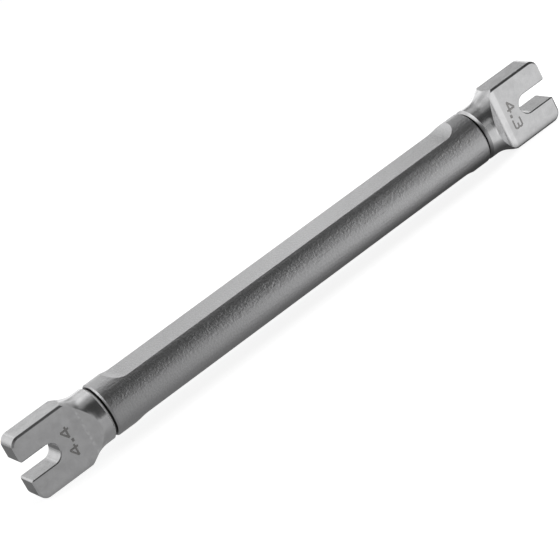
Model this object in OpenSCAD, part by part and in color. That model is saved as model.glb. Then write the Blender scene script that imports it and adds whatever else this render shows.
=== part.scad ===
// Spoke wrench: two steel jaw heads fixed in the ends of a flatted aluminium bar.
// X runs along the bar towards the smaller jaw and Z is square to the bar's flats.
// The plates of the heads are square to Y. The origin is the middle of the bar's axis.

/* [Bar] */
// Diameter of the round bar that the handle is made from
bar_d = 12; // [11.9:0.1:16]
// Length of the bar between its end faces
bar_l = 99.4; // [60:0.2:160]
// Distance across the two milled flats
across_flats = 9; // [7.5:0.1:10.5]
// Length of bar left fully round at each end
collar_l = 3.8; // [2:0.2:12]
// Radius of the cutter that leaves the hollow ends of the flats
flat_cutter_r = 5; // [3:0.5:12]
// Chamfer on the rim of each end face
bar_chamfer = 0.35; // [0.1:0.05:0.5]

/* [Jaws] */
// Width of the slot in the larger jaw
large_jaw = 4.4; // [4.1:0.05:5.6]
// Width of the slot in the smaller jaw
small_jaw = 4.3; // [4.1:0.05:5.6]
// Depth of a slot, from the tips to the end of its round bottom
slot_depth = 8.15; // [6:0.05:10]
// Chamfer along the edges of a slot
slot_chamfer = 0.2; // [0.1:0.05:0.4]
// Radius of the corners where a slot opens at the tips
mouth_r = 0.5; // [0.3:0.1:0.9]

/* [Heads] */
// Length of a head from its shoulder to its tips
head_l = 19.55; // [18:0.05:28]
// Width of a plate, across both prongs
plate_w = 14.4; // [13:0.1:15.4]
// Thickness of a plate
plate_t = 6; // [4.5:0.1:7]
// Length of a plate's flat faces, from the tips to where the cutter lifts
face_l = 12.2; // [10.5:0.1:13.5]
// Radius where a flat face turns up into its ramp
ramp_r = 3.65; // [2:0.05:6]
// Slope of the ramp between a flat face and the neck, in degrees
ramp_angle = 42; // [35:1:60]
// Radius of the outer corners of the tips
corner_r = 2; // [1:0.1:2.5]
// Chamfer round the outer edges of a plate
plate_chamfer = 0.4; // [0.1:0.05:0.6]
// Diameter of the turned neck
neck_d = 11.9; // [10.8:0.1:12]
// Length of the neck, from the shoulder to the start of its flare
neck_l = 2.25; // [1:0.05:3.5]
// Radius of the hollow curve between the neck and the flare
flare_r = 6.9; // [3:0.1:10]
// Half angle of the cone that the flare runs into, in degrees
flare_angle = 30; // [22:1:40]
// Chamfer on the rim of the shoulder
shoulder_chamfer = 0.55; // [0.1:0.05:0.7]

/* [Joint of head and bar] */
// Diameter of the spigot that is fixed in the bar
spigot_d = 6; // [4:0.1:7]
// Length of the spigot
spigot_l = 12; // [6:0.5:24]
// Chamfer on the free end of the spigot
spigot_chamfer = 0.5; // [0.2:0.1:1]
// Diameter of the step that seats on the bar's end face
seat_d = 10; // [8.4:0.1:10.6]
// Height of the step, which is the width of the dark groove between head and bar
groove_w = 0.4; // [0.1:0.05:0.8]
// Depth of the relief groove at the root of the spigot
relief_depth = 0.25; // [0.1:0.05:0.5]
// Width of the relief groove
relief_w = 1; // [0.5:0.1:2]
// Clearance all round the spigot for the retaining compound
bond_gap = 0.02; // [0.01:0.01:0.05]
// Depth of bore beyond the end of the spigot
bore_spare = 1.5; // [0.5:0.5:4]
// Countersink at the mouth of a bore
bore_chamfer = 0.4; // [0.1:0.1:0.6]
// Point angle of the drill that made the bores, in degrees
drill_point = 118; // [90:1:140]

/* [Hidden] */
$fn = 96;
// Overrun of each cut past the faces that it opens
overrun = 1;
bar_r = bar_d / 2;
neck_r = neck_d / 2;
spigot_r = spigot_d / 2;
bore_r = spigot_r + bond_gap;
bore_l = spigot_l + bore_spare;
// The cutter's axis stops here, short of the round collars by its own reach
flat_depth = bar_r - across_flats / 2;
cutter_reach = sqrt(pow(flat_cutter_r, 2) - pow(flat_cutter_r - flat_depth, 2));
stroke_end = bar_l / 2 - collar_l - cutter_reach;
// Where the curve of the flare meets its cone
cone_x = neck_l + flare_r * sin(flare_angle);
cone_r = neck_r + flare_r * (1 - cos(flare_angle));
// The head is turned larger than the corners of its plate before it is milled
blank_r = norm([plate_w, plate_t]) / 2 + overrun;
blank_x = cone_x + (blank_r - cone_r) / tan(flare_angle);
// Where the cutter of a plate's face lifts, and where its curve meets the ramp
lift_x = head_l - face_l;
ramp_x = lift_x - ramp_r * sin(ramp_angle);
ramp_y = plate_t / 2 + ramp_r * (1 - cos(ramp_angle));
ramp_end_x = ramp_x - (blank_r + overrun - ramp_y) / tan(ramp_angle);

// Solid of revolution about X, from a half outline of places along X and radii
module turned() {
    rotate([0, 90, 0]) rotate_extrude() rotate([0, 0, 90]) mirror([0, 1]) children();
}

// Side view in X and Z, extruded across Y
module across_y(w) {
    rotate([90, 0, 0]) linear_extrude(height = w, center = true) children();
}

// Top view in X and Y, extruded across Z
module across_z(w) {
    linear_extrude(height = w, center = true) children();
}

// The same cut on both sides of the plane that is square to an axis
module both_sides(axis) {
    children();
    mirror(axis) children();
}

// Space swept by the cutter as it mills the upper flat
module flat_cut() {
    across_y(bar_d + 2 * overrun)
        translate([0, across_flats / 2 + flat_cutter_r]) {
            square([2 * stroke_end, 2 * flat_cutter_r], center = true);
            both_sides([1, 0]) translate([stroke_end, 0]) circle(r = flat_cutter_r);
        }
}

// Drilled and countersunk bore, running from the origin along X
module spigot_bore() {
    turned() polygon([
        [-overrun, 0],
        [-overrun, bore_r + bore_chamfer + overrun],
        [bore_chamfer, bore_r],
        [bore_l, bore_r],
        [bore_l + bore_r / tan(drill_point / 2), 0]
    ]);
}

// Round bar with chamfered ends, two long flats and a bore in each end
module handle() {
    color([0.62, 0.62, 0.63]) difference() {
        turned() polygon([
            [-bar_l / 2, 0],
            [-bar_l / 2, bar_r - bar_chamfer],
            [-bar_l / 2 + bar_chamfer, bar_r],
            [bar_l / 2 - bar_chamfer, bar_r],
            [bar_l / 2, bar_r - bar_chamfer],
            [bar_l / 2, 0]
        ]);
        both_sides([0, 0, 1]) flat_cut();
        both_sides([1, 0, 0]) translate([-bar_l / 2, 0, 0]) spigot_bore();
    }
}

// Turned blank of a head, before its flare is hollowed: spigot, seat, shoulder, neck and flare
module head_blank() {
    turned() polygon([
        [-groove_w - spigot_l, 0],
        [-groove_w - spigot_l, spigot_r - spigot_chamfer],
        [-groove_w - spigot_l + spigot_chamfer, spigot_r],
        [-groove_w - relief_w, spigot_r],
        [-groove_w - relief_w, spigot_r - relief_depth],
        [-groove_w, spigot_r - relief_depth],
        [-groove_w, seat_d / 2],
        [0, seat_d / 2],
        [0, neck_r - shoulder_chamfer],
        [shoulder_chamfer, neck_r],
        [neck_l, neck_r],
        [cone_x, cone_r],
        [blank_x, blank_r],
        [head_l, blank_r],
        [head_l, 0]
    ]);
}

// Top view of a milled head: the flat faces turn up into the ramps
module milled_outline() {
    polygon([
        [-groove_w - spigot_l - overrun, -blank_r - overrun],
        [-groove_w - spigot_l - overrun, blank_r + overrun],
        [ramp_end_x, blank_r + overrun],
        [ramp_x, ramp_y],
        [lift_x, plate_t / 2],
        [head_l + overrun, plate_t / 2],
        [head_l + overrun, -plate_t / 2],
        [lift_x, -plate_t / 2],
        [ramp_x, -ramp_y],
        [ramp_end_x, -blank_r - overrun]
    ]);
}

// Head with its neck, flare, faces and ramps, before its edges and slot are cut
module milled_head() {
    difference() {
        intersection() {
            head_blank();
            across_z(plate_w) milled_outline();
        }
        // The curve of the face cutter, between each face and its ramp
        both_sides([0, 1, 0]) translate([lift_x, plate_t / 2 + ramp_r, -plate_w / 2 - overrun])
            cylinder(r = ramp_r, h = plate_w + 2 * overrun);
        // The hollow curve of the flare
        turned() translate([neck_l, neck_r + flare_r]) circle(r = flare_r);
    }
}

// Wedge that leaves a chamfer on the edge at the origin, which lies along Z
module edge_wedge(size, l) {
    linear_extrude(height = l) polygon([
        [-size - overrun, overrun],
        [overrun, overrun],
        [overrun, -size - overrun]
    ]);
}

// What is milled off to round the corner of the plate at the origin, which points to +X and +Z,
// with the chamfer that runs on round both rims of the rounded corner
module corner_cut(r, chamfer) {
    lip = (r - chamfer) / 2;
    intersection() {
        translate([-r, -plate_t, -r]) cube([r + overrun, 2 * plate_t, r + overrun]);
        translate([-r, 0, -r]) rotate([90, 0, 0]) rotate_extrude() polygon([
            [r - chamfer - lip, -plate_t / 2 - lip],
            [r, -plate_t / 2 + chamfer],
            [r, plate_t / 2 - chamfer],
            [r - chamfer - lip, plate_t / 2 + lip],
            [2 * r + 2 * overrun, plate_t / 2 + lip],
            [2 * r + 2 * overrun, -plate_t / 2 - lip]
        ]);
    }
}

// Half section of the slot cutter in radius and Y, with its chamfering edges
module slot_half_section(jaw) {
    polygon([
        [0, -plate_t / 2 - overrun],
        [jaw / 2 + slot_chamfer + overrun, -plate_t / 2 - overrun],
        [jaw / 2, -plate_t / 2 + slot_chamfer],
        [jaw / 2, plate_t / 2 - slot_chamfer],
        [jaw / 2 + slot_chamfer + overrun, plate_t / 2 + overrun],
        [0, plate_t / 2 + overrun]
    ]);
}

// Slot with a round bottom and chamfered edges, open at the tips
module slot_cut(jaw) {
    bottom_x = head_l - slot_depth + jaw / 2;
    translate([bottom_x, 0, 0]) {
        rotate([90, 0, 0]) rotate_extrude() slot_half_section(jaw);
        rotate([0, 90, 0]) linear_extrude(height = head_l - bottom_x + overrun)
            both_sides([1, 0]) slot_half_section(jaw);
    }
}

// Chamfers along the outer edges of one face and on the edge of its tips
module face_chamfers() {
    both_sides([0, 0, 1]) translate([ramp_x, plate_t / 2, plate_w / 2])
        rotate([90, 0, 90]) edge_wedge(plate_chamfer, head_l - ramp_x + overrun);
    translate([head_l, plate_t / 2, -plate_w / 2 - overrun])
        edge_wedge(plate_chamfer, plate_w + 2 * overrun);
}

// One head, with its shoulder at the origin and its tips towards +X
module head(jaw) {
    difference() {
        milled_head();
        both_sides([0, 1, 0]) face_chamfers();
        slot_cut(jaw);
        both_sides([0, 0, 1]) {
            translate([head_l, 0, plate_w / 2]) corner_cut(corner_r, plate_chamfer);
            translate([head_l, 0, jaw / 2]) mirror([0, 0, 1]) corner_cut(mouth_r, slot_chamfer);
        }
    }
}

// Where the shoulder of a head stands, off the bar's end face by the height of its seat
module at_bar_end() {
    translate([bar_l / 2 + groove_w, 0, 0]) children();
}

module head_4_3() {
    color([0.72, 0.72, 0.73]) at_bar_end() head(small_jaw);
}

module head_4_4() {
    color([0.72, 0.72, 0.73]) mirror([1, 0, 0]) at_bar_end() head(large_jaw);
}

handle();
head_4_4();
head_4_3();
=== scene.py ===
import math

import bpy
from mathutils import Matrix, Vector


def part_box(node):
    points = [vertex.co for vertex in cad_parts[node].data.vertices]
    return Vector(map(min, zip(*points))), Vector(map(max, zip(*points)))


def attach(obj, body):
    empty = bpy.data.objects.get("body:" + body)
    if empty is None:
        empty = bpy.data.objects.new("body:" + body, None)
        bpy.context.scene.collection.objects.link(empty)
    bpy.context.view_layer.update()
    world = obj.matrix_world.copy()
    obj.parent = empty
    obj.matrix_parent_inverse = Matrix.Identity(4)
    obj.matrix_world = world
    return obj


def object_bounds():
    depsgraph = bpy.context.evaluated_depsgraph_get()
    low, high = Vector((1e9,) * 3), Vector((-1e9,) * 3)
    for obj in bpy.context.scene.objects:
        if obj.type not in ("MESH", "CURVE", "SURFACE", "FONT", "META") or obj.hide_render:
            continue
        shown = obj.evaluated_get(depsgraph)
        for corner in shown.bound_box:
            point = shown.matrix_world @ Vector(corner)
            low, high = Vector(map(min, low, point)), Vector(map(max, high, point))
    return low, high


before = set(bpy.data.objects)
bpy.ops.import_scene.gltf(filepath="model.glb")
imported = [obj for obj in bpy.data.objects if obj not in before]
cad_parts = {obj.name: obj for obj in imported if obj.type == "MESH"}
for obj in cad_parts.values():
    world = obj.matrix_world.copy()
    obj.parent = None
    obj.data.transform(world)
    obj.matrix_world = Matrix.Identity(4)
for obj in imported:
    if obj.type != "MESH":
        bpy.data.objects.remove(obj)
CAD_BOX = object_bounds()

bl_info = {
    "name": "Spoke Wrench",
    "version": (1, 0, 0),
    "blender": (4, 5, 0),
    "location": "View3D > Sidebar > Spoke Wrench",
    "description": "Finishes, size marks and studio for a spoke wrench with two jaw heads",
    "category": "Object",
}

MM = 0.001

# Places on the wrench, which lies along X with its middle at the origin
BAR_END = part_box("handle")[1].x
LARGER_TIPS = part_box("head_4_4")[0].x
SMALLER_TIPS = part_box("head_4_3")[1].x
FRONT_OF_PLATES = -3.0 * MM
LOWEST = CAD_BOX[0][2]

# How far below the wrench the floor lies
FLOOR_GAP = 0.01 * MM

# Zones of the finish and of painted light and shade along the bar: where each begins to show and where it
# is full
RIM = (BAR_END - 0.37 * MM, BAR_END - 0.34 * MM)
PAST_GROOVE = (BAR_END + 0.41 * MM, BAR_END + 0.43 * MM)
PAST_SHOULDER = (BAR_END + 0.9 * MM, BAR_END + 1.0 * MM)
RAMPS_BEGIN = (BAR_END + 2.7 * MM, BAR_END + 2.9 * MM)
RAMPS_END = (BAR_END + 7.9 * MM, BAR_END + 7.5 * MM)
GLINT_BEGINS = (BAR_END + 5.15 * MM, BAR_END + 5.5 * MM)
GLINT_ENDS = (BAR_END + 5.9 * MM, BAR_END + 5.55 * MM)
BRIGHT_FOOT_ALONG = (BAR_END + 6.7 * MM, BAR_END + 5.7 * MM)

# Other zones: from one head to the other along X, and down a ramp along Z
LARGER_TO_SMALLER = (-1 * MM, 1 * MM)
BRIGHT_FOOT_DOWN = (-0.5 * MM, -3 * MM)

# Ways to face, as the share of a face's normal that lies along one axis
FACES_THE_END = (0.94, 0.98)
FACES_THE_FRONT = (0.55, 0.65)
NO_RISE = (0.12, 0.06)

# Where in the tumbled skin's cloud the painted highlight line shows, and how strongly at most
GLINT_BREAKS = (0.45, 0.6)
GLINT_STRENGTH = 0.7

# The floor's shade under the wrench, as metal sees it: distances across the bar and zones along it
SHADE_START = 3 * MM
SHADE_BESIDE_BAR = 14 * MM
SHADE_BESIDE_PLATES = 6 * MM
NECKS_TO_PLATES = (54 * MM, 58 * MM)
LEFT_TO_RIGHT = (-60 * MM, 50 * MM)

# Where the digits of a mark and their point stand across the plates, from the first to the last
LARGER_DIGITS = (2.4 * MM, -0.2 * MM, -1.72 * MM)
SMALLER_DIGITS = (1.12 * MM, -0.35 * MM, -2.45 * MM)

# Soft panels of the room: which way each hangs, how far it reaches in degrees, and its strength
PANELS = {
    "roof at the back": ((0.36, 0.53, 0.76), 26, 0.6),
    "low at the back": ((0.36, 0.93, -0.08), 26, 1.5),
    "front right": ((0.8, -0.6, 0.1), 32, 1.45),
    "back left": ((-0.36, 0.86, 0.36), 34, 0.65),
    "wide, back left": ((-0.6, 0.8, 0.4), 60, 0.3),
    "left": ((-0.79, 0.2, 0.54), 32, 1.85),
    "wide, left": ((-1, 0, 0.45), 65, 0.15),
    "right": ((0.85, 0.42, 0.32), 28, 0.45),
    "front left": ((-0.55, -0.8, 0.2), 30, 0.25),
}
BACKDROP_WAY = (0.1, 1, 0.1)
BACKDROP_REACH = 30

# Lamps that light what is matt, as shares of the key power: name, place, share. All point at one place
LAMPS = (
    ("key_lamp", (0.108, 0.048, 0.167), 1.0),
    ("side_lamp", (0.198, 0.0, 0.116), 0.85),
    ("fill_lamp", (0.012, -0.048, 0.167), 0.2),
)
LAMP_AIM = 0.06
LAMP_SIZE = (0.07, 0.07)

# Strip lights that the metal reflects, as shares of the box power: name, place, the place on the bar's
# axis that each points at, length and width, share
STRIPS = (
    ("back_strip", (0.02, 0.164, 0.115), 0.02, (0.18, 0.075), 1.0),
    ("low_back_strip", (0.16, 0.193, 0.052), 0.16, (0.18, 0.075), 0.75),
    ("roof_strip", (0.02, 0.052, 0.193), 0.02, (0.18, 0.075), 1.0),
    ("front_roof_strip", (0.04, -0.017, 0.199), 0.04, (0.22, 0.075), 0.65),
    ("front_strip", (0.125, -0.155, 0.1), 0.045, (0.04, 0.05), 0.13),
    ("upper_back_strip", (-0.01, 0.108, 0.168), -0.01, (0.14, 0.075), 0.42),
)

# The camera, as fitted to the picture: its place, its turn in degrees and its lens in millimetres
CAMERA_PLACE = (-0.199261, -0.483095, 0.201574)
CAMERA_TURN = (66.30614, 26.04742, -32.99265)
CAMERA_LENS = 178.473


class WrenchMarks(bpy.types.PropertyGroup):
    digit_height: bpy.props.FloatProperty(
        name="Digit height",
        description="Height of the size marks on the heads",
        default=1.95 * MM,
        min=1.0 * MM,
        max=3.0 * MM,
        subtype="DISTANCE",
        unit="LENGTH",
    )
    stroke_width: bpy.props.FloatProperty(
        name="Stroke width",
        description="Width of one stroke of a mark",
        default=0.42 * MM,
        min=0.1 * MM,
        max=0.6 * MM,
        subtype="DISTANCE",
        unit="LENGTH",
    )
    stroke_rise: bpy.props.FloatProperty(
        name="Stroke rise",
        description="How far the burnt edge of a mark stands off the plate",
        default=0.012 * MM,
        min=0.005 * MM,
        max=0.05 * MM,
        subtype="DISTANCE",
        unit="LENGTH",
    )
    larger_setback: bpy.props.FloatProperty(
        name="Setback, larger jaw",
        description="Distance from the tips of the larger jaw to the feet of its digits",
        default=11.68 * MM,
        min=10.0 * MM,
        max=12.0 * MM,
        subtype="DISTANCE",
        unit="LENGTH",
    )
    smaller_setback: bpy.props.FloatProperty(
        name="Setback, smaller jaw",
        description="Distance from the tips of the smaller jaw to the feet of its digits",
        default=11.25 * MM,
        min=10.0 * MM,
        max=12.0 * MM,
        subtype="DISTANCE",
        unit="LENGTH",
    )


class WrenchFinish(bpy.types.PropertyGroup):
    bar_colour: bpy.props.FloatVectorProperty(
        name="Bar colour",
        description="Grey of the anodised bar",
        default=(0.43, 0.43, 0.435),
        size=3,
        min=0,
        max=1,
        subtype="COLOR",
    )
    steel_colour: bpy.props.FloatVectorProperty(
        name="Steel colour",
        description="Colour of the satin plated heads",
        default=(0.56, 0.56, 0.565),
        size=3,
        min=0,
        max=1,
        subtype="COLOR",
    )
    mark_colour: bpy.props.FloatVectorProperty(
        name="Mark colour",
        description="Colour that the laser leaves in a mark",
        default=(0.29, 0.285, 0.28),
        size=3,
        min=0,
        max=1,
        subtype="COLOR",
    )
    bar_roughness: bpy.props.FloatProperty(
        name="Bar roughness",
        description="How far the anodised bar blurs what it reflects",
        default=0.36,
        min=0.1,
        max=0.8,
        subtype="FACTOR",
    )
    steel_roughness: bpy.props.FloatProperty(
        name="Steel roughness",
        description="How far the satin heads blur what they reflect",
        default=0.25,
        min=0.1,
        max=0.8,
        subtype="FACTOR",
    )


class WrenchStudio(bpy.types.PropertyGroup):
    floor_colour: bpy.props.FloatVectorProperty(
        name="Floor colour",
        description="Colour of the pale floor",
        default=(0.85, 0.85, 0.85),
        size=3,
        min=0,
        max=1,
        subtype="COLOR",
    )
    floor_size: bpy.props.FloatProperty(
        name="Floor size",
        description="Width of the floor",
        default=4.0,
        min=1.0,
        max=20.0,
        subtype="DISTANCE",
        unit="LENGTH",
    )
    key_power: bpy.props.FloatProperty(
        name="Key power",
        description="Power of the lamp that lights the floor from above and behind",
        default=0.125,
        min=0.0,
        max=10.0,
        subtype="POWER",
        unit="POWER",
    )
    box_power: bpy.props.FloatProperty(
        name="Box power",
        description="Power of the strongest strip light that the metal reflects",
        default=0.028,
        min=0.0,
        max=1.0,
        subtype="POWER",
        unit="POWER",
    )
    room_level: bpy.props.FloatProperty(
        name="Room level",
        description="Light of the dim room round the panels, where 1 is white",
        default=0.06,
        min=0.0,
        max=1.0,
        subtype="FACTOR",
    )
    backdrop_level: bpy.props.FloatProperty(
        name="Backdrop level",
        description="Light of the pale backdrop as metal and glass see it",
        default=0.3,
        min=0.0,
        max=1.0,
        subtype="FACTOR",
    )
    floor_left_level: bpy.props.FloatProperty(
        name="Floor level, left",
        description="Light of the open floor before the larger jaw as metal and glass see it",
        default=0.49,
        min=0.0,
        max=1.0,
        subtype="FACTOR",
    )
    floor_right_level: bpy.props.FloatProperty(
        name="Floor level, right",
        description="Light of the open floor before the smaller jaw as metal and glass see it",
        default=0.98,
        min=0.0,
        max=1.0,
        subtype="FACTOR",
    )
    shade_left_level: bpy.props.FloatProperty(
        name="Shade level, left",
        description="Light of the floor under the larger jaw as metal and glass see it",
        default=0.38,
        min=0.0,
        max=1.0,
        subtype="FACTOR",
    )
    shade_right_level: bpy.props.FloatProperty(
        name="Shade level, right",
        description="Light of the floor under the smaller jaw as metal and glass see it",
        default=0.08,
        min=0.0,
        max=1.0,
        subtype="FACTOR",
    )


def deselect_all():
    if bpy.context.object and bpy.context.object.mode != "OBJECT":
        bpy.ops.object.mode_set(mode="OBJECT")
    bpy.ops.object.select_all(action="DESELECT")


def select_only(obj):
    deselect_all()
    obj.select_set(True)
    bpy.context.view_layer.objects.active = obj


def wear_the_finish(obj, material):
    obj.data.materials.clear()
    obj.data.materials.append(material)


def tinted(colour, share):
    return (colour[0] * share, colour[1] * share, colour[2] * share, 1)


def grey(level):
    return (level, level, level, 1)


class Recipe:
    """Writes the nodes of a material or of the room, each fed by plain values and by other nodes."""

    nodes_in_a_column = 7
    node_spacing = 250

    def __init__(self, owner):
        owner.use_nodes = True
        self.owner = owner
        self.nodes = owner.node_tree.nodes
        self.links = owner.node_tree.links
        self.nodes.clear()

    def add(self, kind, feeds=None, **settings):
        """One node, with what feeds its sockets under their names or numbers."""
        column, row = divmod(len(self.nodes), self.nodes_in_a_column)
        node = self.nodes.new(kind)
        node.location = (self.node_spacing * column, -self.node_spacing * row)
        for key, value in settings.items():
            setattr(node, key, value)
        for socket, value in (feeds or {}).items():
            if isinstance(value, bpy.types.NodeSocket):
                self.links.new(value, node.inputs[socket])
            else:
                node.inputs[socket].default_value = value
        return node

    def parts(self, vector):
        """The three parts of a place or of a normal."""
        return self.add("ShaderNodeSeparateXYZ", {"Vector": vector}).outputs

    def maths(self, operation, first, second=0):
        return self.add("ShaderNodeMath", {0: first, 1: second}, operation=operation).outputs["Value"]

    def size_of(self, value):
        """The value without its sign."""
        return self.maths("ABSOLUTE", value)

    def product(self, first, *others):
        for other in others:
            first = self.maths("MULTIPLY", first, other)
        return first

    def fade(self, value, zone, low=0, high=1, kind="LINEAR"):
        """Goes from low to high while the value crosses a zone."""
        start, full = zone
        feeds = {"Value": value, "From Min": start, "From Max": full, "To Min": low, "To Max": high}
        return self.add("ShaderNodeMapRange", feeds, interpolation_type=kind).outputs["Result"]

    def noise(self, place, scale, detail=2, roughness=0.5):
        feeds = {"Vector": place, "Scale": scale, "Detail": detail, "Roughness": roughness}
        return self.add("ShaderNodeTexNoise", feeds).outputs["Fac"]

    def two_tones(self, share, dark, light, start=0.3, end=0.7):
        """One colour up to the start, another from the end on, and an even change between them."""
        ramp = self.add("ShaderNodeValToRGB", {"Fac": share})
        first, last = ramp.color_ramp.elements
        first.position, first.color = start, dark
        last.position, last.color = end, light
        return ramp.outputs["Color"]

    def mix(self, share, first, second, blend="MIX"):
        """Two colours in one: all first where the share is 0, all second where it is 1."""
        feeds = {0: share, 6: first, 7: second}
        return self.add("ShaderNodeMix", feeds, data_type="RGBA", blend_type=blend).outputs[2]

    def mix_values(self, share, first, second):
        return self.add("ShaderNodeMix", {0: share, 2: first, 3: second}, data_type="FLOAT").outputs[0]

    def mix_shaders(self, share, first, second):
        return self.add("ShaderNodeMixShader", {0: share, 1: first, 2: second}).outputs["Shader"]

    def bump(self, height, strength, distance):
        feeds = {"Height": height, "Strength": strength, "Distance": distance}
        return self.add("ShaderNodeBump", feeds).outputs["Normal"]

    def mirrored(self, path):
        """1 for what metal and glass show, and 0 for anything else."""
        return self.maths("ADD", path["Is Glossy Ray"], path["Is Transmission Ray"])

    def uneven(self, cloud, roughness):
        """A roughness that goes a little up and down with a cloud."""
        change = 0.03
        return self.fade(cloud, (0, 1), low=roughness - change, high=roughness + change)

    def metal(self, feeds):
        """Ends a material with a metal surface."""
        shader = self.add("ShaderNodeBsdfPrincipled", feeds)
        self.add("ShaderNodeOutputMaterial", {"Surface": shader.outputs["BSDF"]})
        return self.owner


def anodised_material(finish):
    """Grey anodised aluminium: a bead blasted skin with a fine speckle over a faint drawn grain, and
    painted shade on the rims and end faces.
    """
    dark_speck = tinted(finish.bar_colour, 0.94)
    light_speck = tinted(finish.bar_colour, 1.06)
    painted_rim_shade = tinted(finish.bar_colour, 0.95)
    painted_bar_end_shade = tinted(finish.bar_colour, 0.2)
    share_of_grain = 0.3
    drawn_along_the_bar = (0.06, 1, 1)

    recipe = Recipe(bpy.data.materials.new("anodised_bar"))
    coordinates = recipe.add("ShaderNodeTexCoord").outputs
    place = coordinates["Object"]
    along = recipe.size_of(recipe.parts(place)["X"])
    to_the_end = recipe.size_of(recipe.parts(coordinates["Normal"])["X"])
    drawn = recipe.add("ShaderNodeMapping", {"Vector": place, "Scale": drawn_along_the_bar})
    speckle = recipe.noise(place, scale=2000, detail=3, roughness=0.6)
    grain = recipe.noise(drawn.outputs["Vector"], scale=2600)
    cloud = recipe.noise(place, scale=90)

    colour = recipe.two_tones(speckle, dark_speck, light_speck)
    # Painted shade: the rim at each end of the bar is painted a little darker, to tone down its highlight
    colour = recipe.mix(recipe.fade(along, RIM), colour, painted_rim_shade)
    # Painted shade: the bar's end faces in the joints are painted near black
    colour = recipe.mix(recipe.fade(to_the_end, FACES_THE_END), colour, painted_bar_end_shade)
    rough = recipe.uneven(cloud, finish.bar_roughness)
    skin = recipe.mix_values(share_of_grain, speckle, grain)
    bump = recipe.bump(skin, strength=0.8, distance=0.17 * MM)
    return recipe.metal({"Base Color": colour, "Metallic": 1, "Roughness": rough, "Normal": bump})


def smaller_ramps(recipe, x, normal_z):
    """1 on the ramps of the smaller jaw: in that stretch, they alone face neither up nor down."""
    begun = recipe.fade(x, RAMPS_BEGIN)
    not_ended = recipe.fade(x, RAMPS_END)
    level = recipe.fade(recipe.size_of(normal_z), NO_RISE)
    return recipe.product(begun, not_ended, level)


def painted_glint_line(recipe, along, normal_y, skin):
    """A broken line of painted highlight where the ramps' cutter ran out, on faces that look to the front
    or the back.
    """
    line = recipe.product(recipe.fade(along, GLINT_BEGINS), recipe.fade(along, GLINT_ENDS))
    facing = recipe.fade(recipe.size_of(normal_y), FACES_THE_FRONT)
    broken = recipe.fade(skin, GLINT_BREAKS, high=GLINT_STRENGTH)
    return recipe.product(line, facing, broken)


def plated_material(finish):
    """Satin plated steel: a tumbled, cloudy skin, with painted light and shade and other finishes at the
    joints, ramps and tips.
    """
    dark_cloud = tinted(finish.steel_colour, 0.92)
    light_cloud = tinted(finish.steel_colour, 1.07)
    painted_light_larger_shoulder = tinted(finish.steel_colour, 1.2)
    painted_shade_smaller_shoulder = tinted(finish.steel_colour, 0.72)
    painted_groove_shade = tinted(finish.steel_colour, 0.08)
    painted_glint = tinted(finish.steel_colour, 1.28)
    painted_end_face_shade = tinted(finish.steel_colour, 0.36)
    painted_ramp_light = grey(1.22)
    painted_foot_highlight = grey(1.4)
    shoulder_roughness = 0.3
    cut_roughness = 0.4
    larger_shoulder_metal = 0.2

    recipe = Recipe(bpy.data.materials.new("satin_plated_steel"))
    coordinates = recipe.add("ShaderNodeTexCoord").outputs
    place = coordinates["Object"]
    parts = recipe.parts(place)
    x = parts["X"]
    z = parts["Z"]
    normal_x, normal_y, normal_z = recipe.parts(coordinates["Normal"])
    along = recipe.size_of(x)
    cloud = recipe.noise(place, scale=520, detail=4)
    tumbled = recipe.noise(place, scale=1300, detail=3)
    smaller = recipe.fade(x, LARGER_TO_SMALLER)
    body = recipe.fade(along, PAST_SHOULDER)
    tips = recipe.fade(recipe.size_of(normal_x), FACES_THE_END)

    # At the joint: a turned shoulder with painted light on one head and painted shade on the other, and
    # painted shade in the groove
    colour = recipe.two_tones(cloud, dark_cloud, light_cloud)
    colour = recipe.mix(body, recipe.mix(smaller, painted_light_larger_shoulder, painted_shade_smaller_shoulder), colour)
    colour = recipe.mix(recipe.fade(along, PAST_GROOVE), painted_groove_shade, colour)

    # Painted light: the ramps of the smaller jaw are painted brighter than its plate, most of all low down
    # on the bar's side
    ramps = smaller_ramps(recipe, x, normal_z)
    foot = recipe.product(recipe.fade(x, BRIGHT_FOOT_ALONG), recipe.fade(z, BRIGHT_FOOT_DOWN), ramps)
    colour = recipe.mix(ramps, colour, painted_ramp_light, blend="MULTIPLY")
    colour = recipe.mix(foot, colour, painted_foot_highlight, blend="MULTIPLY")

    # A broken line of painted highlight on the ramps, and painted shade on the faces at the tips and slots
    # that look along the bar
    colour = recipe.mix(painted_glint_line(recipe, along, normal_y, tumbled), colour, painted_glint)
    colour = recipe.mix(tips, colour, painted_end_face_shade)

    rough = recipe.uneven(cloud, finish.steel_roughness)
    rough = recipe.mix_values(body, shoulder_roughness, rough)
    rough = recipe.mix_values(tips, rough, cut_roughness)
    metallic = recipe.mix_values(body, recipe.mix_values(smaller, larger_shoulder_metal, 1), 1)
    bump = recipe.bump(tumbled, strength=0.12, distance=0.05 * MM)
    return recipe.metal({"Base Color": colour, "Metallic": metallic, "Roughness": rough, "Normal": bump})


def laser_mark_material(finish):
    """Dark matt oxide of a laser mark, slightly uneven."""
    recipe = Recipe(bpy.data.materials.new("laser_mark"))
    pits = recipe.noise(recipe.add("ShaderNodeTexCoord").outputs["Object"], scale=6000)
    dark = tinted(finish.mark_colour, 0.7)
    light = tinted(finish.mark_colour, 1.4)
    colour = recipe.two_tones(pits, dark, light, start=0, end=1)
    return recipe.metal({"Base Color": colour, "Metallic": 1, "Roughness": 0.5})


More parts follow.
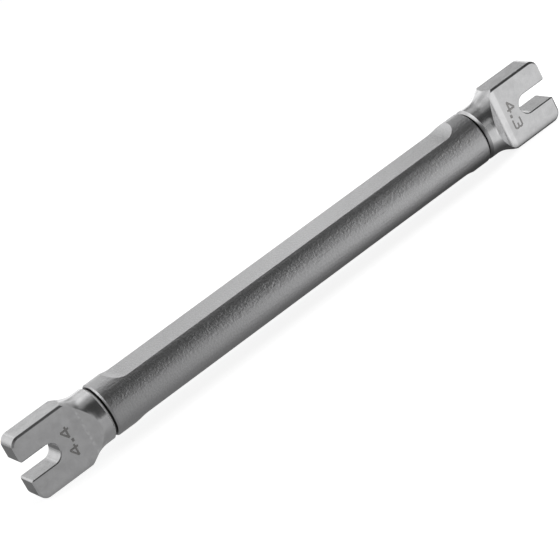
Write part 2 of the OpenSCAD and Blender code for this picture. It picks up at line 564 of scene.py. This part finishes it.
def pale_floor_material(studio):
    """A floor that is white to the camera, and that metal and glass see at levels of its own."""
    recipe = Recipe(bpy.data.materials.new("pale_floor"))
    path = recipe.add("ShaderNodeLightPath").outputs
    place = recipe.parts(recipe.add("ShaderNodeTexCoord").outputs["Object"])
    along = place["X"]
    across = recipe.size_of(place["Y"])

    # In metal and glass: the open floor, lighter to the right, and a shade under the wrench, which is
    # narrower beside the flat heads than beside the bar
    reach = recipe.fade(recipe.size_of(along), NECKS_TO_PLATES, SHADE_BESIDE_BAR, SHADE_BESIDE_PLATES)
    open_floor = recipe.fade(across, (SHADE_START, reach), kind="SMOOTHSTEP")
    far = recipe.fade(along, LEFT_TO_RIGHT, studio.floor_left_level, studio.floor_right_level)
    near = recipe.fade(along, LEFT_TO_RIGHT, studio.shade_left_level, studio.shade_right_level)
    glow = recipe.add("ShaderNodeEmission", {"Strength": recipe.mix_values(open_floor, near, far)})
    matt = recipe.add("ShaderNodeBsdfDiffuse", {"Color": tinted(studio.floor_colour, 1)})
    lit = recipe.mix_shaders(recipe.mirrored(path), matt.outputs["BSDF"], glow.outputs["Emission"])

    # To the camera: white, with a faint shadow under the wrench
    faint = recipe.add("ShaderNodeBsdfDiffuse", {"Color": grey(0.35)})
    white = recipe.add("ShaderNodeEmission", {"Color": grey(0.85), "Strength": 1})
    seen = recipe.add("ShaderNodeAddShader", {0: faint.outputs["BSDF"], 1: white.outputs["Emission"]})

    surface = recipe.mix_shaders(path["Is Camera Ray"], lit, seen.outputs["Shader"])
    recipe.add("ShaderNodeOutputMaterial", {"Surface": surface})
    return recipe.owner


def panel_of_light(recipe, direction, towards, reach, strength):
    """One soft panel of the room: full in its middle and gone at its reach, in degrees."""
    feeds = {0: direction, 1: Vector(towards).normalized()}
    facing = recipe.add("ShaderNodeVectorMath", feeds, operation="DOT_PRODUCT").outputs["Value"]
    return recipe.fade(facing, (math.cos(math.radians(reach)), 1), high=strength, kind="SMOOTHSTEP")


def light_room(studio):
    """A dim room with soft panels, a pale backdrop in the metal, and white all over for the camera."""
    world = bpy.data.worlds.new("soft_room")
    bpy.context.scene.world = world
    recipe = Recipe(world)
    path = recipe.add("ShaderNodeLightPath").outputs
    direction = recipe.add("ShaderNodeTexCoord").outputs["Generated"]
    pale = panel_of_light(recipe, direction, BACKDROP_WAY, BACKDROP_REACH, studio.backdrop_level)
    light = recipe.maths("ADD", recipe.product(recipe.mirrored(path), pale), studio.room_level)
    for towards, reach, strength in PANELS.values():
        light = recipe.maths("ADD", light, panel_of_light(recipe, direction, towards, reach, strength))
    light = recipe.maths("MAXIMUM", light, path["Is Camera Ray"])
    background = recipe.add("ShaderNodeBackground", {"Color": grey(1), "Strength": light})
    recipe.add("ShaderNodeOutputWorld", {"Surface": background.outputs["Background"]})


def lay_floor(studio):
    deselect_all()
    bpy.ops.mesh.primitive_plane_add(size=studio.floor_size, location=(0, 0, LOWEST - FLOOR_GAP))
    floor = bpy.context.object
    floor.name = "studio_floor"
    bpy.ops.object.transform_apply(location=True, rotation=True, scale=True)
    wear_the_finish(floor, pale_floor_material(studio))


def hang_lamp(name, place, aim, size, power, in_the_metal):
    """One square or oblong lamp that points at a place on the bar's axis."""
    deselect_all()
    bpy.ops.object.light_add(type="AREA", location=place)
    lamp = bpy.context.object
    lamp.name = name
    lamp.data.shape = "RECTANGLE"
    lamp.data.size, lamp.data.size_y = size
    lamp.data.energy = power
    lamp.rotation_euler = (Vector((aim, 0, 0)) - Vector(place)).to_track_quat("-Z", "Y").to_euler()
    lamp.visible_glossy = in_the_metal
    lamp.visible_camera = False


def four_strokes(height):
    """The strokes of a 4, as places to the right of its stem and above its foot."""
    left = -0.92 * height
    right = 0.36 * height
    bar = 0.33 * height
    stem = [(0, 0), (0, height)]
    slope = [(0, height), (left, bar)]
    return [stem, slope, [(left, bar), (right, bar)]]


def three_strokes(height):
    """The strokes of a 3 with cut corners, as places to the right of its middle and above its foot."""
    left = -0.52 * height
    right = 0.46 * height
    foot = 0.08 * height
    middle = 0.54 * height
    corner = 0.14 * height
    upper = [
        (left, height - corner / 2),
        (left + corner / 2, height),
        (right - corner, height),
        (right, height - corner),
        (right, middle + corner),
        (right - corner, middle),
        (-corner / 2, middle),
    ]
    lower = [
        (right - corner, middle),
        (right, middle - corner),
        (right, foot + corner),
        (right - corner, foot),
        (left, foot),
        (left - corner / 2, foot + corner / 2),
    ]
    return [upper, lower]


def dot_strokes(height):
    """The point between two digits, a small square of two strokes side by side."""
    side = 0.075 * height
    foot = 0.02 * height
    top = 0.32 * height
    return [[(-side, foot), (-side, top)], [(side, foot), (side, top)]]


def draw_mark(name, placed, side, setback, marks, material):
    """One flat piece of strokes on the front of a head, with the feet of its digits away from the tips."""
    deselect_all()
    curve = bpy.data.curves.new(name, "CURVE")
    curve.dimensions = "3D"
    curve.bevel_depth = marks.stroke_width / 2
    curve.bevel_resolution = 3
    curve.use_fill_caps = True
    tip = SMALLER_TIPS if side > 0 else LARGER_TIPS
    foot = tip - side * setback
    for strokes, across in placed:
        for stroke in strokes:
            spline = curve.splines.new("POLY")
            spline.points.add(len(stroke) - 1)
            for point, (right, up) in zip(spline.points, stroke):
                point.co = (foot + side * up, 0, across - side * right, 1)
    obj = bpy.data.objects.new(name, curve)
    bpy.context.scene.collection.objects.link(obj)
    select_only(obj)
    bpy.ops.object.convert(target="MESH")
    flatten = marks.stroke_rise / (marks.stroke_width / 2)
    bpy.ops.transform.resize(value=(1, flatten, 1), center_override=(0, 0, 0))
    bpy.ops.transform.translate(value=(0, FRONT_OF_PLATES, 0))
    bpy.ops.object.transform_apply(location=True, rotation=True, scale=True)
    wear_the_finish(obj, material)
    bpy.ops.object.shade_smooth()
    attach(obj, "root")


class WRENCH_OT_finish_bar(bpy.types.Operator):
    """Gives the bar its anodised finish"""

    bl_idname = "wrench.finish_bar"
    bl_label = "Finish the Bar"

    def execute(self, context):
        material = anodised_material(context.scene.wrench_finish)
        wear_the_finish(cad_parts["handle"], material)
        return {"FINISHED"}


class WRENCH_OT_finish_heads(bpy.types.Operator):
    """Gives both heads their satin plated finish"""

    bl_idname = "wrench.finish_heads"
    bl_label = "Finish the Heads"

    def execute(self, context):
        material = plated_material(context.scene.wrench_finish)
        for name in ("head_4_4", "head_4_3"):
            wear_the_finish(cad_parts[name], material)
        return {"FINISHED"}


class WRENCH_OT_mark_sizes(bpy.types.Operator):
    """Draws the laser marks of the jaw sizes on the heads"""

    bl_idname = "wrench.mark_sizes"
    bl_label = "Mark the Sizes"

    def execute(self, context):
        marks = context.scene.wrench_marks
        material = laser_mark_material(context.scene.wrench_finish)
        four = four_strokes(marks.digit_height)
        three = three_strokes(marks.digit_height)
        dot = dot_strokes(marks.digit_height)
        larger = list(zip((four, dot, four), LARGER_DIGITS))
        smaller = list(zip((four, dot, three), SMALLER_DIGITS))
        draw_mark("mark_4_4", larger, -1, marks.larger_setback, marks, material)
        draw_mark("mark_4_3", smaller, 1, marks.smaller_setback, marks, material)
        return {"FINISHED"}


class WRENCH_OT_build_studio(bpy.types.Operator):
    """Lays the pale floor and hangs the soft lights round the wrench"""

    bl_idname = "wrench.build_studio"
    bl_label = "Build the Studio"

    def execute(self, context):
        studio = context.scene.wrench_studio
        lay_floor(studio)
        light_room(studio)
        for name, place, share in LAMPS:
            hang_lamp(name, place, LAMP_AIM, LAMP_SIZE, share * studio.key_power, in_the_metal=False)
        for name, place, aim, size, share in STRIPS:
            hang_lamp(name, place, aim, size, share * studio.box_power, in_the_metal=True)
        context.scene.view_settings.view_transform = "Standard"
        return {"FINISHED"}


class WRENCH_OT_place_camera(bpy.types.Operator):
    """Stands the camera where the picture was taken from"""

    bl_idname = "wrench.place_camera"
    bl_label = "Place the Camera"

    def execute(self, context):
        deselect_all()
        turn = [math.radians(angle) for angle in CAMERA_TURN]
        bpy.ops.object.camera_add(location=CAMERA_PLACE, rotation=turn)
        camera = bpy.context.object
        camera.name = "camera"
        camera.data.sensor_width = 36
        camera.data.lens = CAMERA_LENS
        camera.data.clip_start = 0.01
        camera.data.clip_end = 50
        context.scene.camera = camera
        return {"FINISHED"}


class WRENCH_PT_panel(bpy.types.Panel):
    """Lists the steps that dress the wrench"""

    bl_idname = "WRENCH_PT_panel"
    bl_label = "Spoke Wrench"
    bl_space_type = "VIEW_3D"
    bl_region_type = "UI"
    bl_category = "Spoke Wrench"

    def draw(self, context):
        layout = self.layout
        for name in STEPS:
            layout.operator("wrench." + name)
        for group in ("wrench_finish", "wrench_marks", "wrench_studio"):
            settings = getattr(context.scene, group)
            box = layout.box()
            for key in settings.__annotations__:
                box.prop(settings, key)


STEPS = ("finish_bar", "finish_heads", "mark_sizes", "build_studio", "place_camera")

CLASSES = (
    WrenchMarks,
    WrenchFinish,
    WrenchStudio,
    WRENCH_OT_finish_bar,
    WRENCH_OT_finish_heads,
    WRENCH_OT_mark_sizes,
    WRENCH_OT_build_studio,
    WRENCH_OT_place_camera,
    WRENCH_PT_panel,
)


def register():
    for cls in CLASSES:
        bpy.utils.register_class(cls)
    bpy.types.Scene.wrench_marks = bpy.props.PointerProperty(type=WrenchMarks)
    bpy.types.Scene.wrench_finish = bpy.props.PointerProperty(type=WrenchFinish)
    bpy.types.Scene.wrench_studio = bpy.props.PointerProperty(type=WrenchStudio)


def unregister():
    del bpy.types.Scene.wrench_studio
    del bpy.types.Scene.wrench_finish
    del bpy.types.Scene.wrench_marks
    for cls in reversed(CLASSES):
        bpy.utils.unregister_class(cls)


def main():
    register()
    bpy.ops.wrench.finish_bar()
    bpy.ops.wrench.finish_heads()
    bpy.ops.wrench.mark_sizes()
    bpy.ops.wrench.build_studio()
    bpy.ops.wrench.place_camera()


if __name__ == "__main__":
    main()
